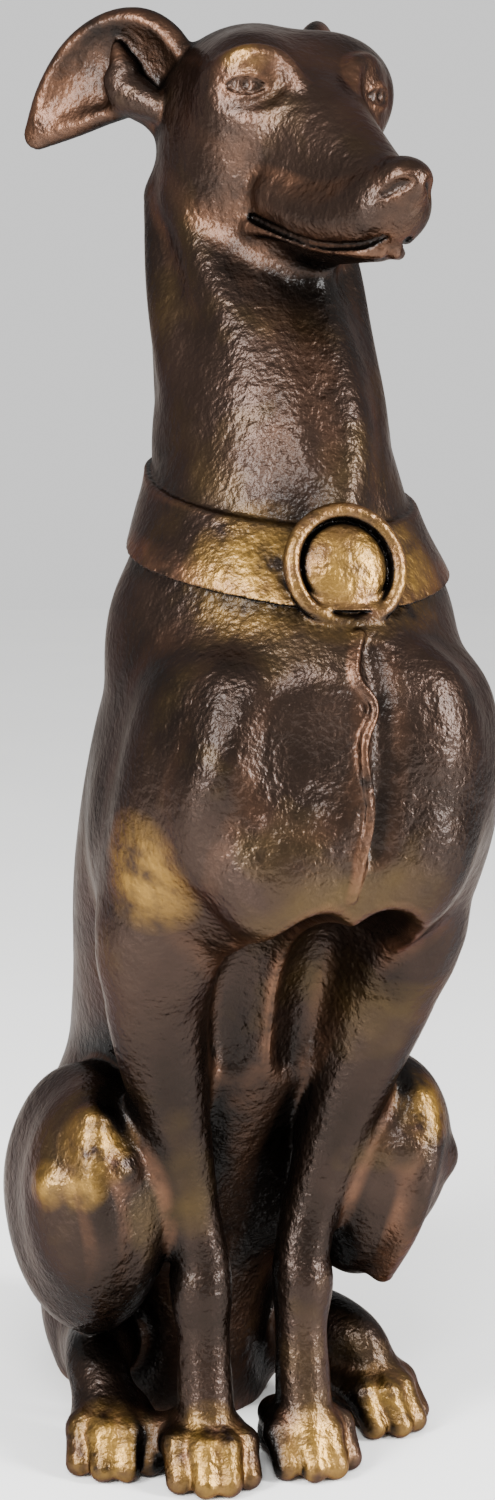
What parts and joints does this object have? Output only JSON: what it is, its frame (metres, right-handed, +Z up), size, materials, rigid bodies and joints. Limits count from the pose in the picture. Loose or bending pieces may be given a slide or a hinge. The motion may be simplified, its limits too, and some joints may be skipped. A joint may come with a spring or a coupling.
{
  "type": "dog statue",
  "caption": "Sitting greyhound statue cast in iron, upright on its forelegs, wearing a plain collar with a round domed medallion; the head is turned to its left.",
  "frame": {"origin": "middle of the bounding box at ground level, under the feet and the rump", "axes": "+Z up, the dog faces -Y, and its left side is towards +X"},
  "size_m": [0.2358, 0.3796, 0.7474],
  "materials": {
    "iron": "dark brown bronze patina, polished on the high points, sand-cast grain"
  },
  "bodies": {
    "root": {"greyhound_statue": "iron"}
  },
  "joints": []
}
